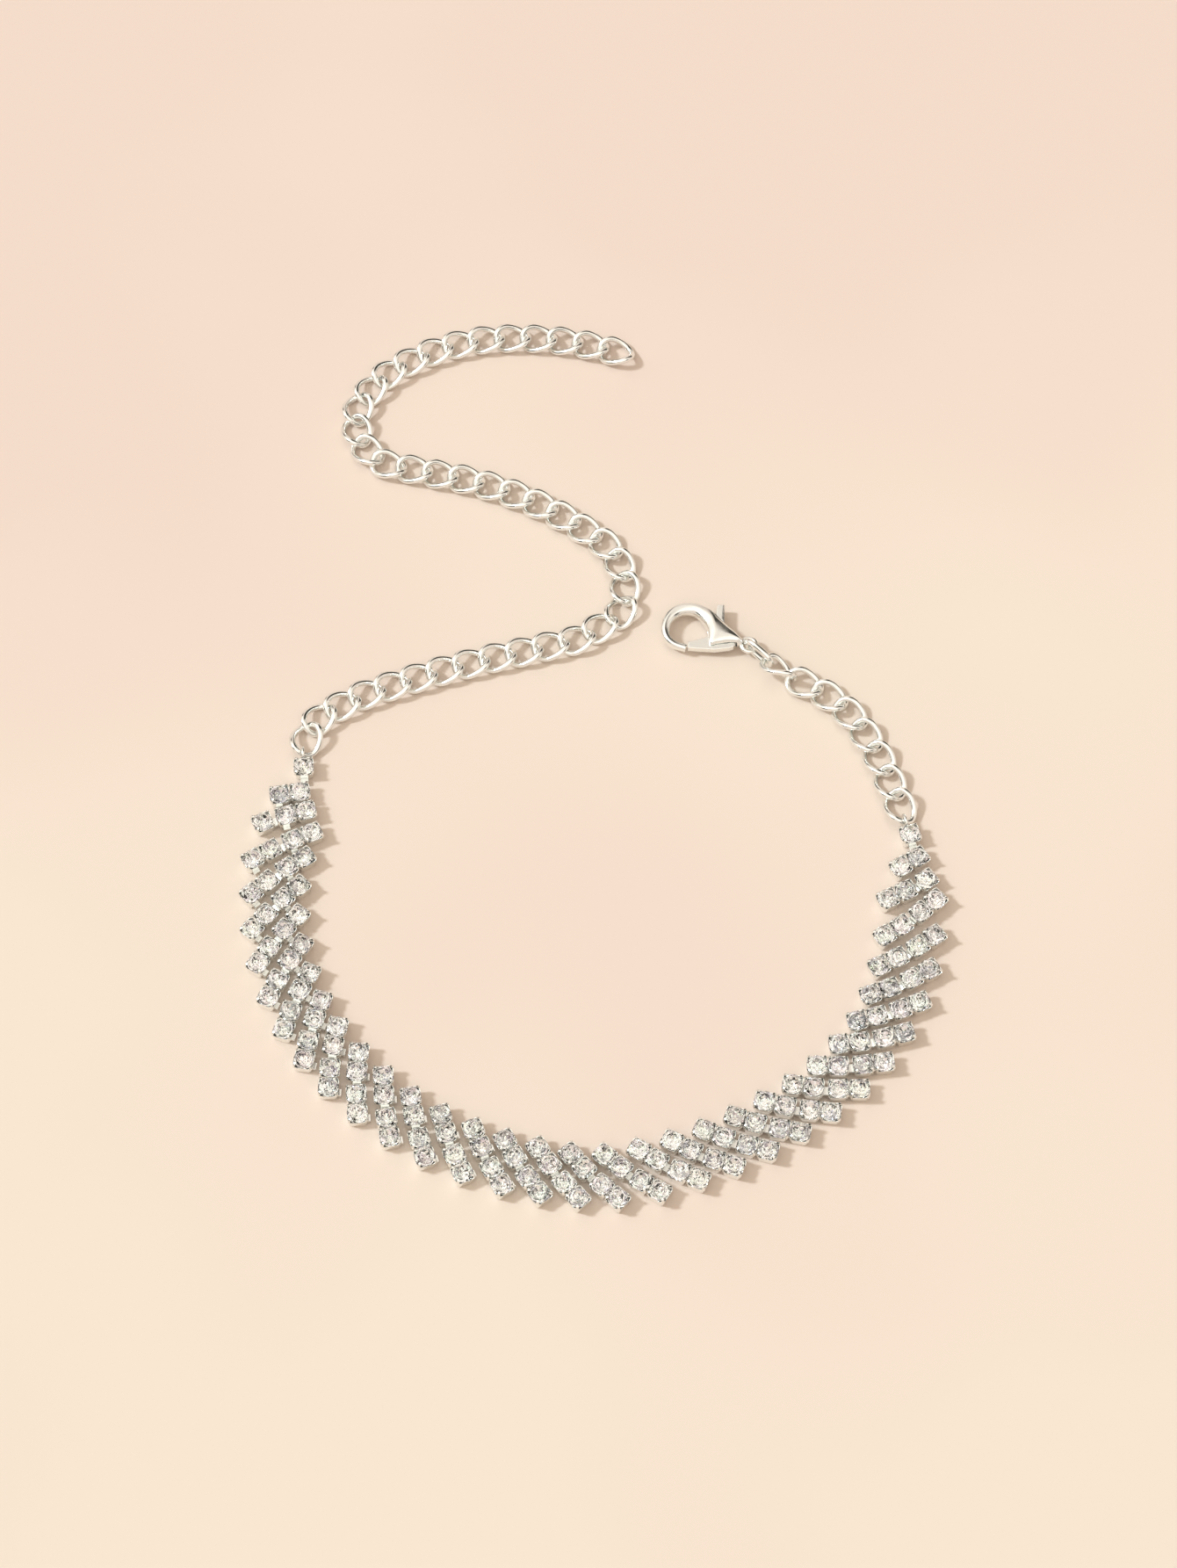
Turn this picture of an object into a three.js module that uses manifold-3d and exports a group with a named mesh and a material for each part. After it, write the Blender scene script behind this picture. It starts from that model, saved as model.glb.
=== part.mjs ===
// A claw-set rhinestone chain bracelet, lying open on a surface.
// Thirty-three slanting rows of square cups make a C-shaped band. A long extender
// chain leaves one end of the band, and a short chain with a lobster clasp the other.
// Millimetres, +Z up. The origin is under the middle of the whole bracelet.
import * as THREE from 'three';
import { mergeVertices } from 'three/addons/utils/BufferGeometryUtils.js';
import Module from 'manifold-3d';

// ---- Driving dimensions ----

// A cup is a square claw setting with its stone, wider at the stone's girdle.
const CUP = { base: 1.94, girdle: 2.36, table: 1.35, girdleZ: 1.7, topZ: 2.3 };
const CUP_PITCH = 2.45; // two cups soldered side by side make a bar
const BAR_PITCH = 5.3; // two bars make a row of four
const BAR_KINK = 8; // degrees that the outer bar turns past the inner one
const STRIP = { width: 1.1, bottom: 0.2, top: 0.6 }; // metal under and between cups
const TAB = { width: 0.9, from: 0.85, reach: 1.5, aside: 0.2 }; // towards the next row

// Curb links are round wire bent to a full oval and twisted to lie flat.
const LINK = { halfWidth: 1.6, wire: 0.33, twist: -38, stations: 10, sides: 4 };
const OVAL_POWER = 0.85; // 1 is a plain ellipse, and less is fuller at the corners
const CLOSED_LAP = 0.3; // how far a link's end passes the half pitch, where soldered
const OPEN_LAP = 0.44; // the same towards a loose neighbour
const LINKS_PER_STRETCH = 4;
const EYE = { radius: 0.82, wire: 0.18, out: 1.88, height: 1.02 }; // soldered to an end cup
const TAIL = { width: 1.0, reach: 1.85 }; // from an end cup back towards the band
const CUP_TO_LINK = 3.9; // from an end cup's middle to the first link's

// The clasp is a cast body with a lever that turns on a pin in its slot.
const CLASP_Z = 1.25; // its middle plane
const SLOT_HEIGHT = 1.16;
const LEVER = { thickness: 0.86, bore: 0.47, tabHeight: 1.7 };
const PIN = { radius: 0.35, length: 1.7 };
const PIVOT = { x: -2.75, y: 0.0 };
const EYELET = { radius: 0.9, wire: 0.27 };

// How many flat sides stand for each round.
const FACETS = { eye: 10, eyelet: 14, eyeletWire: 6, castBody: 8, pin: 10, bore: 12 };

// ---- Routes ----
// Each route is walked from its start, a row or link at a time.
// Headings and turns are in degrees, anticlockwise from +X.

const BAND_START = { x: -35.55, y: -2.0, heading: -96 };
const BAND_STEPS = [
  { rows: 1, pitch: 3.9, turn: -20, cups: 2, slant: 65 },
  { rows: 1, pitch: 3.6, turn: 42, cups: 3, slant: 66 },
  { rows: 1, pitch: 3.95, turn: -22, cups: 4, slant: 68 },
  { rows: 1, pitch: 4.2, turn: 4, cups: 4, slant: 48 },
  { rows: 5, pitch: 4.2, turn: 7.5, cups: 4, slant: 45 },
  { rows: 5, pitch: 4.45, turn: 6.5, cups: 4, slant: 45 },
  { rows: 3, pitch: 4.15, turn: 5.5, cups: 4, slant: 45 },
  { rows: 2, pitch: 4.35, turn: 10, cups: 4, slant: 45 },
  { rows: 5, pitch: 4.15, turn: 4.5, cups: 4, slant: 45 },
  { rows: 2, pitch: 4.1, turn: 7.5, cups: 4, slant: 45 },
  { rows: 1, pitch: 4.05, turn: 7, cups: 4, slant: 45 },
  { rows: 1, pitch: 4.05, turn: 10, cups: 4, slant: 46 },
  { rows: 1, pitch: 4.15, turn: 8, cups: 4, slant: 48 },
  { rows: 1, pitch: 4.35, turn: 6, cups: 4, slant: 49 },
  { rows: 1, pitch: 4.5, turn: -3, cups: 4, slant: 44 },
  { rows: 1, pitch: 3.05, turn: 23, cups: 3, slant: 61 },
  { rows: 1, pitch: 3.9, turn: 0, cups: 2, slant: 71 },
];

// A chain's first and last links are raised, and the last one rolled, to pass through
// what holds them.
const EXTENDER_START = { x: -34.0, y: 1.6, eye: 94, heading: 87, pitch: 3.3 };
const EXTENDER_ENDS = { firstRaised: 0.2, lastRaised: 0, lastRoll: 0 };
const EXTENDER_STEPS = [
  { links: 1, turn: -23 }, { links: 1, turn: -30 }, { links: 2, turn: -6.5 },
  { links: 5, turn: -1.5 }, { links: 2, turn: 1 }, { links: 1, turn: 16 },
  { links: 1, turn: 9 }, { links: 1, turn: 41 }, { links: 3, turn: 19.5 },
  { links: 6, turn: 4.5 }, { links: 2, turn: 0.5 }, { links: 1, turn: -25.5 },
  { links: 3, turn: -27 }, { links: 2, turn: -14 }, { links: 4, turn: -7.5 },
  { links: 5, turn: -5 },
];

const SHORT_START = { x: 38.1, y: -7.45, eye: 106, heading: 106, pitch: 3.46 };
const SHORT_ENDS = { firstRaised: 0.2, lastRaised: 0.68, lastRoll: 40 };
const SHORT_STEPS = [
  { links: 2, turn: 2 },
  { links: 2, turn: 6 },
  { links: 2, turn: 13 },
  { links: 1, turn: 2 },
  { links: 1, turn: -12 },
];

const CLASP_PLACE = { x: 19.4, y: 18.4, heading: -10.6 }; // its eyelet's middle

// ---- Tools ----

const wasm = await Module();
wasm.setup();

const SAME_POINT = 1e-5; // corners closer than this are one

const radians = THREE.MathUtils.degToRad;

function turned(x, y, z, degrees) {
  const turn = new THREE.Matrix4().makeRotationZ(radians(degrees));
  return turn.setPosition(x, y, z);
}

// Joins rings of points into one closed body. Its ends are capped, or meet if it's a loop.
function skin(rings, isLoop) {
  const count = rings[0].length;
  const triangles = [];
  const spans = isLoop ? rings.length : rings.length - 1;
  for (let i = 0; i < spans; i++) {
    const here = i * count;
    const next = ((i + 1) % rings.length) * count;
    for (let k = 0; k < count; k++) {
      const along = (k + 1) % count;
      triangles.push(here + k, here + along, next + along);
      triangles.push(here + k, next + along, next + k);
    }
  }
  if (!isLoop) {
    const last = (rings.length - 1) * count;
    for (let k = 1; k < count - 1; k++) {
      triangles.push(0, k + 1, k);
      triangles.push(last, last + k, last + k + 1);
    }
  }
  const geometry = new THREE.BufferGeometry().setFromPoints(rings.flat());
  geometry.setIndex(triangles);
  return facingOut(geometry);
}

function facingOut(geometry) {
  const point = geometry.attributes.position;
  const index = geometry.index;
  const [a, b, c] = [new THREE.Vector3(), new THREE.Vector3(), new THREE.Vector3()];
  let volume = 0;
  for (let i = 0; i < index.count; i += 3) {
    a.fromBufferAttribute(point, index.getX(i));
    b.fromBufferAttribute(point, index.getX(i + 1));
    c.fromBufferAttribute(point, index.getX(i + 2));
    volume += a.dot(b.cross(c));
  }
  if (volume < 0) {
    index.array.reverse();
  }
  return geometry;
}

// A closed mesh as a solid for joining and cutting.
function solid(geometry, place = new THREE.Matrix4()) {
  const bare = geometry.clone().applyMatrix4(place);
  bare.deleteAttribute('normal');
  bare.deleteAttribute('uv');
  const merged = mergeVertices(bare, SAME_POINT);
  const mesh = new wasm.Mesh({
    numProp: 3,
    vertProperties: new Float32Array(merged.attributes.position.array),
    triVerts: new Uint32Array(merged.index.array),
  });
  return new wasm.Manifold(mesh);
}

function joined(solids) {
  return solids.reduce((whole, piece) => whole.add(piece));
}

function geometryOf(manifold) {
  const mesh = manifold.getMesh();
  const geometry = new THREE.BufferGeometry();
  geometry.setAttribute('position', new THREE.BufferAttribute(mesh.vertProperties, 3));
  geometry.setIndex(new THREE.BufferAttribute(mesh.triVerts, 1));
  geometry.computeVertexNormals();
  return geometry;
}

function named(name, geometry, material, place) {
  const mesh = new THREE.Mesh(geometry, material);
  mesh.name = name;
  mesh.applyMatrix4(place);
  return mesh;
}

const numbered = (name, number) => `${name}_${String(number).padStart(2, '0')}`;

// ---- Materials ----

const silver = new THREE.MeshStandardMaterial({ color: 0xdcdad6, roughness: 0.18, metalness: 1 });
const setStones = new THREE.MeshStandardMaterial({ color: 0xe6e6e8, roughness: 0.1, metalness: 0.6 });

// ---- The band's cups and rows ----

function squareRing(width, z) {
  const half = width / 2;
  const corners = [[-half, -half], [half, -half], [half, half], [-half, half]];
  return corners.map(([x, y]) => new THREE.Vector3(x, y, z));
}

function cupGeometry() {
  return skin([
    squareRing(CUP.base, 0),
    squareRing(CUP.girdle, CUP.girdleZ),
    squareRing(CUP.table, CUP.topZ),
  ], false);
}

// The cups of a row, inner end first, as places along the row's own x axis.
function cupPlaces(count) {
  const half = CUP_PITCH / 2;
  if (count === 2) {
    return [turned(-half, 0, 0, 0), turned(half, 0, 0, 0)];
  }
  const inner = turned(-BAR_PITCH / 2, 0, 0, -BAR_KINK / 2);
  const outer = turned(BAR_PITCH / 2, 0, 0, BAR_KINK / 2);
  const places = [inner, outer].flatMap((bar) => [
    bar.clone().multiply(turned(-half, 0, 0, 0)),
    bar.clone().multiply(turned(half, 0, 0, 0)),
  ]);
  return count === 3 ? places.slice(0, 3) : places;
}

function place2d(matrix) {
  return new THREE.Vector3().setFromMatrixPosition(matrix);
}

// A flat strip of metal that runs from one point to another under the cups.
function strip(from, to, width) {
  const length = from.distanceTo(to);
  const middle = from.clone().add(to).multiplyScalar(0.5);
  const degrees = THREE.MathUtils.radToDeg(Math.atan2(to.y - from.y, to.x - from.x));
  const box = new THREE.BoxGeometry(length, width, STRIP.top - STRIP.bottom);
  return solid(box, turned(middle.x, middle.y, (STRIP.top + STRIP.bottom) / 2, degrees));
}

// Every second cup carries a tab that reaches towards the next row.
function rowGeometry(count, hasTabs) {
  const places = cupPlaces(count);
  const parts = places.map((place) => solid(cupGeometry(), place));
  for (let i = 1; i < places.length; i++) {
    parts.push(strip(place2d(places[i - 1]), place2d(places[i]), STRIP.width));
    if (hasTabs && i % 2 === 1) {
      const from = new THREE.Vector3(TAB.aside, TAB.from, 0).applyMatrix4(places[i]);
      const to = new THREE.Vector3(TAB.aside, TAB.reach, 0).applyMatrix4(places[i]);
      parts.push(strip(from, to, TAB.width));
    }
  }
  return geometryOf(joined(parts));
}

function band() {
  const group = new THREE.Group();
  const steps = BAND_STEPS.flatMap((step) => Array(step.rows).fill(step));
  let { x, y, heading } = BAND_START;
  steps.forEach((step, i) => {
    const geometry = rowGeometry(step.cups, i < steps.length - 1);
    const place = turned(x, y, 0, heading + step.turn / 2 - step.slant);
    group.add(named(numbered('row', i + 1), geometry, setStones, place));
    heading += step.turn;
    x += step.pitch * Math.cos(radians(heading));
    y += step.pitch * Math.sin(radians(heading));
  });
  return group;
}

// A single cup at each end of the band, with an upright eye for the chain and a flat
// tail towards the band.
function endCup(name, start) {
  const eye = new THREE.TorusGeometry(EYE.radius, EYE.wire, LINK.sides, FACETS.eye);
  eye.rotateX(Math.PI / 2);
  const tail = strip(new THREE.Vector3(-TAIL.reach, 0, 0), new THREE.Vector3(), TAIL.width);
  const parts = [solid(cupGeometry()), solid(eye, turned(EYE.out, 0, EYE.height, 0)), tail];
  const place = turned(start.x, start.y, 0, start.eye);
  return named(name, geometryOf(joined(parts)), setStones, place);
}

// ---- Chains ----

// Turns an ellipse's cosine or sine into a fuller oval's.
function fuller(share) {
  return Math.sign(share) * Math.abs(share) ** OVAL_POWER;
}

// A link lies along x. Its twist grows along its length, so that neighbours cross.
function linkGeometry({ aft, fore, halfWidth = LINK.halfWidth, twist = LINK.twist }) {
  const rings = [];
  for (let i = 0; i < LINK.stations; i++) {
    const angle = (2 * Math.PI * i) / LINK.stations;
    const along = fuller(Math.cos(angle));
    const aside = fuller(Math.sin(angle));
    const reach = along > 0 ? fore : aft;
    const middle = new THREE.Vector3(reach * along, halfWidth * aside, 0);
    const outward = new THREE.Vector3(along / reach, aside / halfWidth, 0);
    outward.normalize();
    const upward = new THREE.Vector3(0, 0, 1);
    const xAxis = new THREE.Vector3(1, 0, 0);
    for (const vector of [middle, outward, upward]) {
      vector.applyAxisAngle(xAxis, radians(twist) * along);
    }
    const ring = [];
    for (let k = 0; k < LINK.sides; k++) {
      const around = (2 * Math.PI * k) / LINK.sides;
      ring.push(middle.clone()
        .addScaledVector(outward, LINK.wire * Math.cos(around))
        .addScaledVector(upward, LINK.wire * Math.sin(around)));
    }
    rings.push(ring);
  }
  return skin(rings, true);
}

// How high a link's middle is when it lies flat.
function linkRest(pitch) {
  const reach = pitch / 2 + OPEN_LAP;
  const geometry = linkGeometry({ aft: reach, fore: reach });
  geometry.computeBoundingBox();
  return -geometry.boundingBox.min.z;
}

// Link places along a chain. Each link lies halfway between the steps before and after it.
function chainPlaces(start, steps, ends) {
  const turns = steps.flatMap((step) => Array(step.links).fill(step.turn));
  const rest = linkRest(start.pitch);
  let { x, y, heading } = start;
  x += CUP_TO_LINK * Math.cos(radians(heading));
  y += CUP_TO_LINK * Math.sin(radians(heading));
  const places = [];
  for (const turn of turns) {
    places.push(turned(x, y, rest, heading + turn / 2));
    heading += turn;
    x += start.pitch * Math.cos(radians(heading));
    y += start.pitch * Math.sin(radians(heading));
  }
  const last = places[places.length - 1];
  last.multiply(new THREE.Matrix4().makeRotationX(radians(ends.lastRoll)));
  last.elements[14] += ends.lastRaised;
  places[0].elements[14] += ends.firstRaised;
  return places;
}

// Four links at a time are one solid. The next four pass through them with a gap.
function chain(name, start, steps, ends) {
  const group = new THREE.Group();
  const places = chainPlaces(start, steps, ends);
  const closed = start.pitch / 2 + CLOSED_LAP;
  const open = start.pitch / 2 + OPEN_LAP;
  for (let first = 0; first < places.length; first += LINKS_PER_STRETCH) {
    const stretch = places.slice(first, first + LINKS_PER_STRETCH);
    const home = stretch[0];
    const toHome = home.clone().invert();
    const parts = stretch.map((place, i) => {
      const aft = i === 0 ? open : closed;
      const fore = i === stretch.length - 1 ? open : closed;
      return solid(linkGeometry({ aft, fore }), toHome.clone().multiply(place));
    });
    const number = first / LINKS_PER_STRETCH + 1;
    group.add(named(numbered(name, number), geometryOf(joined(parts)), silver, home));
  }
  return group;
}

// ---- The clasp, with its eyelet's middle at 0, 0 and its hook towards -x ----

// Sections of the cast body, from the eyelet round the hook to its tip.
const BODY_SECTIONS = [
  { x: -0.78, y: 0.06, heading: 180, half: 0.4, rise: 0.5 },
  { x: -1.35, y: 0.22, heading: 172, half: 0.56, rise: 0.92 },
  { x: -2.28, y: 0.45, heading: 166, half: 0.97, rise: 1.12 },
  { x: -3.35, y: 0.57, heading: 165, half: 1.54, rise: 1.2 },
  { x: -4.4, y: 0.94, heading: 174, half: 2.08, rise: 1.2 },
  { x: -5.05, y: 2.3, heading: 172, half: 1.36, rise: 1.05 },
  { x: -5.85, y: 3.05, heading: 172, half: 1.05, rise: 0.95 },
  { x: -7.2, y: 3.6, heading: 182, half: 0.8, rise: 0.86 },
  { x: -8.65, y: 3.42, heading: 206, half: 0.78, rise: 0.8 },
  { x: -9.72, y: 2.62, heading: 232, half: 0.72, rise: 0.77 },
  { x: -10.28, y: 1.35, heading: 258, half: 0.6, rise: 0.75 },
  { x: -10.28, y: 0, heading: 282, half: 0.55, rise: 0.73 },
  { x: -9.75, y: -1.02, heading: 312, half: 0.5, rise: 0.68 },
  { x: -8.85, y: -1.6, heading: 338, half: 0.49, rise: 0.6 },
  { x: -7.46, y: -1.82, heading: 356, half: 0.5, rise: 0.5 },
];

function bodyRing({ x, y, heading, half, rise }) {
  const side = new THREE.Vector3(-Math.sin(radians(heading)), Math.cos(radians(heading)), 0);
  const ring = [];
  for (let k = 0; k < FACETS.castBody; k++) {
    const around = (2 * Math.PI * k) / FACETS.castBody;
    const point = new THREE.Vector3(x, y, CLASP_Z + rise * Math.sin(around));
    ring.push(point.addScaledVector(side, half * Math.cos(around)));
  }
  return ring;
}

function plate(corners, thickness, hole) {
  const shape = new THREE.Shape(corners.map(({ x, y }) => new THREE.Vector2(x, y)));
  if (hole) {
    shape.holes.push(new THREE.Path().absarc(PIVOT.x, PIVOT.y, hole, 0, 2 * Math.PI, true));
  }
  const options = { depth: thickness, bevelEnabled: false, curveSegments: FACETS.bore };
  const geometry = new THREE.ExtrudeGeometry(shape, options);
  return geometry.translate(0, 0, CLASP_Z - thickness / 2);
}

// The slot leaves room for the lever through its whole swing.
const SLOT_CORNERS = [
  { x: -5.5, y: -2.8 },
  { x: -1.4, y: -2.8 },
  { x: -1.4, y: -0.1 },
  { x: -1.6, y: 0.42 },
  { x: -2, y: 0.8 },
  { x: -1.9, y: 3.9 },
  { x: -4.8, y: 3.9 },
  { x: -4.8, y: 1.25 },
  { x: -5.5, y: 1.25 },
];

function claspBody() {
  const cast = solid(skin(BODY_SECTIONS.map(bodyRing), false));
  const eyelet = new THREE.TorusGeometry(EYELET.radius, EYELET.wire, FACETS.eyeletWire, FACETS.eyelet);
  const pin = new THREE.CylinderGeometry(PIN.radius, PIN.radius, PIN.length, FACETS.pin);
  pin.rotateX(Math.PI / 2);
  return geometryOf(cast
    .subtract(solid(plate(SLOT_CORNERS, SLOT_HEIGHT)))
    .add(solid(eyelet, turned(0, 0, CLASP_Z, 0)))
    .add(solid(pin, turned(PIVOT.x, PIVOT.y, CLASP_Z, 0))));
}

// The lever: a gate that closes the hook, a heel round the pin and a thumb arm.
const LEVER_CORNERS = [
  { x: -7.1, y: -1.95 },
  { x: -6.2, y: -1.88 },
  { x: -3.9, y: -1.6 },
  { x: -2.2, y: -1.05 },
  { x: -1.75, y: -0.8 },
  { x: -1.55, y: -0.45 },
  { x: -1.8, y: 0.2 },
  { x: -2.5, y: 0.75 },
  { x: -3.4, y: 2.4 },
  { x: -3.8, y: 4.75 },
  { x: -4.65, y: 4.6 },
  { x: -4.55, y: 2.6 },
  { x: -4.5, y: 0.3 },
  { x: -5.3, y: -0.15 },
  { x: -6.3, y: -0.7 },
  { x: -7.2, y: -1.15 },
];

const THUMB_CORNERS = [
  { x: -3.65, y: 3.8 },
  { x: -3.8, y: 4.75 },
  { x: -4.65, y: 4.6 },
  { x: -4.6, y: 3.7 },
];

function claspLever() {
  const arms = solid(plate(LEVER_CORNERS, LEVER.thickness, LEVER.bore));
  return geometryOf(arms.add(solid(plate(THUMB_CORNERS, LEVER.tabHeight))));
}

function clasp() {
  const group = new THREE.Group();
  const home = new THREE.Matrix4();
  group.add(named('clasp_body', claspBody(), silver, home));
  group.add(named('clasp_lever', claspLever(), silver, home));
  group.applyMatrix4(turned(CLASP_PLACE.x, CLASP_PLACE.y, 0, CLASP_PLACE.heading));
  return group;
}

// A plain oval link stands on edge through the eyelet and slopes down to the chain.
const STANDING = { x: 20.6, y: 17.1, z: 1.63, heading: -43, roll: 95, slope: 4 };
const OVAL = { aft: 2.0, fore: 2.0, halfWidth: 1.3, twist: 0 };

function connectingLink() {
  const { x, y, z, heading, roll, slope } = STANDING;
  const tilt = new THREE.Matrix4().makeRotationY(radians(slope));
  const lean = new THREE.Matrix4().makeRotationX(radians(roll));
  const place = turned(x, y, z, heading).multiply(tilt).multiply(lean);
  return named('connecting_link', linkGeometry(OVAL), silver, place);
}

// ---- The whole bracelet ----

const bracelet = new THREE.Group();
bracelet.add(band());
bracelet.add(endCup('end_cup_extender', EXTENDER_START));
bracelet.add(endCup('end_cup_clasp', SHORT_START));
bracelet.add(chain('extender_links', EXTENDER_START, EXTENDER_STEPS, EXTENDER_ENDS));
bracelet.add(chain('short_links', SHORT_START, SHORT_STEPS, SHORT_ENDS));
bracelet.add(connectingLink());
bracelet.add(clasp());

const box = new THREE.Box3().setFromObject(bracelet, true);
const middle = box.getCenter(new THREE.Vector3());
bracelet.position.set(-middle.x, -middle.y, -box.min.z);

const group = new THREE.Group();
group.add(bracelet);
export default group;
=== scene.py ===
import math
import random

import bmesh
import bpy
from mathutils import Matrix, Vector


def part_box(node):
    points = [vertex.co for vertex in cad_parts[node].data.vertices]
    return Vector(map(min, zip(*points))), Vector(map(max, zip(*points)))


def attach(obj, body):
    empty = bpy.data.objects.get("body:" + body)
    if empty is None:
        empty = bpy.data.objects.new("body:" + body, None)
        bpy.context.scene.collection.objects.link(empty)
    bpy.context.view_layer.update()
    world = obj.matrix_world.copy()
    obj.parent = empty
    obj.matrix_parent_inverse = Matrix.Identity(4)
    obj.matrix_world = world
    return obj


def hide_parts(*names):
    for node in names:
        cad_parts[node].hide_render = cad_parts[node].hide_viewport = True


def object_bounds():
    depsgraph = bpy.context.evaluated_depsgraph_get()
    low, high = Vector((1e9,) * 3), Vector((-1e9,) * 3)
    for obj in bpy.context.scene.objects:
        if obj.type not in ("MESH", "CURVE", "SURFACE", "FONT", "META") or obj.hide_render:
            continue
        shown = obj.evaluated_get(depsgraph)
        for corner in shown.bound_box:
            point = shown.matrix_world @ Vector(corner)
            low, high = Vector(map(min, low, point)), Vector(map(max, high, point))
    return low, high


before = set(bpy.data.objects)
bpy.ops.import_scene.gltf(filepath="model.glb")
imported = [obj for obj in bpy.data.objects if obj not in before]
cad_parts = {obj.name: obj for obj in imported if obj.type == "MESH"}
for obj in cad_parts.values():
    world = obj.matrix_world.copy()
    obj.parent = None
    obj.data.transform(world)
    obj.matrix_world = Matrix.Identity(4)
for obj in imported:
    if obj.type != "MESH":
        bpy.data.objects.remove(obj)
cad_low, cad_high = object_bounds()

# Lengths are in millimetres and angles in degrees, except where a comment says metres.
# Textures are scaled to metres. Every piece is laid out on a plan with its own zero,
# and then moved to its place.
MM = 0.001

# ---- The view ----
# A long lens looks down on the bracelet from in front, high enough to show the whole
# open curve of the band and its two chains.

LINK_MIDDLE = (20.6, 17.1)  # the connecting link's middle in the plan


def plan_origin():
    """Where the plan's own zero lies, from the link that is at a known place in it."""
    low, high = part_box("connecting_link")
    middle = (low + high) / 2
    return Vector((middle.x - LINK_MIDDLE[0] * MM, middle.y - LINK_MIDDLE[1] * MM, 0))


ORIGIN = plan_origin()

VIEW_ELEVATION = 62
VIEW_DISTANCE = 0.55  # metres
VIEW_NEAREST = 0.01  # metres
LENS = 105.7

camera = bpy.data.objects.new("camera", bpy.data.cameras.new("camera"))
bpy.context.scene.collection.objects.link(camera)
slope = math.radians(VIEW_ELEVATION)
backward = Vector((0, -math.cos(slope), math.sin(slope)))
camera.location = ORIGIN + backward * VIEW_DISTANCE
camera.rotation_euler = (math.radians(90 - VIEW_ELEVATION), 0, 0)
camera.data.lens = LENS
camera.data.clip_start = VIEW_NEAREST
bpy.context.scene.camera = camera

# ---- The light and the floor ----
# A lamp on the left draws the shadows and is broad enough to soften their edges.
# Bright cards and dark gaps round the table give the metal and the stones something
# to reflect.

bpy.context.scene.view_settings.view_transform = "Standard"

KEY_FROM = (-1.0, 0.08, 1.0)
KEY_STRENGTH = 2.1
KEY_ANGLE = 8.0
KEY_COLOUR = (0.90, 1.015, 1.08)

key = bpy.data.objects.new("key_light", bpy.data.lights.new("key_light", "SUN"))
bpy.context.scene.collection.objects.link(key)
key.rotation_euler = Vector(KEY_FROM).to_track_quat("Z", "Y").to_euler()
key.data.energy = KEY_STRENGTH
key.data.angle = math.radians(KEY_ANGLE)
key.data.color = KEY_COLOUR

# Each card and gap has the direction it lies in, its half width and the soft edge
# outside that. A card's white is added to the room's light, and a gap covers it.
ROOM = (0.83, 0.71, 0.615)
CARD_TINT = (0.90, 1.0, 0.93)
GAP_TONE = (0.05, 0.048, 0.04)
CARDS = [
    {"azimuth": 165, "height": 48, "half": 30, "edge": 10, "white": 0.34},
    {"azimuth": 105, "height": 68, "half": 20, "edge": 8, "white": 0.16},
    {"azimuth": 270, "height": 62, "half": 24, "edge": 10, "white": 0.52},
    {"azimuth": 350, "height": 50, "half": 16, "edge": 8, "white": 0.28},
]
GAPS = [
    {"azimuth": 50, "height": 10, "half": 20, "edge": 8},
    {"azimuth": 54, "height": 34, "half": 16, "edge": 6},
    {"azimuth": 58, "height": 54, "half": 10, "edge": 5},
    {"azimuth": 205, "height": 18, "half": 12, "edge": 6},
    {"azimuth": 325, "height": 24, "half": 10, "edge": 6},
    {"azimuth": 120, "height": 16, "half": 8, "edge": 6},
]

MIX_FIRST, MIX_SECOND, MIX_RESULT = 6, 7, 2  # a Mix node's colour sockets


class Nodes:
    """Adds shader nodes to a tree, by name, with their values and links."""

    def __init__(self, tree):
        self.tree = tree
        tree.nodes.clear()

    def add(self, kind, inputs=None, **settings):
        node = self.tree.nodes.new("ShaderNode" + kind)
        for setting, value in settings.items():
            setattr(node, setting, value)
        for socket, value in (inputs or {}).items():
            if isinstance(value, bpy.types.NodeSocket):
                self.tree.links.new(value, node.inputs[socket])
            else:
                node.inputs[socket].default_value = value
        return node

    def mix(self, share, first, second, blend="MIX"):
        """A share of the second colour mixed into the first, or added to it."""
        inputs = {"Factor": share, MIX_FIRST: first, MIX_SECOND: second}
        node = self.add("Mix", inputs, data_type="RGBA", blend_type=blend)
        return node.outputs[MIX_RESULT]

    def ramp(self, share, tones, blend="LINEAR"):
        """The tone that a share falls on, of tones laid out from 0 to 1, each at its from."""
        node = self.add("ValToRGB", {"Fac": share})
        elements = node.color_ramp.elements
        node.color_ramp.interpolation = blend
        while len(elements) < len(tones):
            elements.new(1.0)
        for element, tone in zip(elements, tones):
            element.position = tone["from"]
            element.color = (*tone["colour"], 1)
        return node.outputs["Color"]


def direction(azimuth, height):
    """A direction of length 1, from its turn about the vertical and its height."""
    turn, rise = math.radians(azimuth), math.radians(height)
    flat = math.cos(rise)
    return (flat * math.cos(turn), flat * math.sin(turn), math.sin(rise))


def card_share(nodes, look, card):
    """1 inside a card's outline, falling to 0 across its soft edge."""
    towards = nodes.add("VectorMath", {0: look, 1: direction(card["azimuth"], card["height"])},
                        operation="DOT_PRODUCT")
    inner = math.cos(math.radians(card["half"]))
    outer = math.cos(math.radians(card["half"] + card["edge"]))
    share = nodes.add("MapRange", {"Value": towards.outputs["Value"], "From Min": outer,
                                   "From Max": inner}, interpolation_type="SMOOTHSTEP")
    return share.outputs[0]


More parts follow.
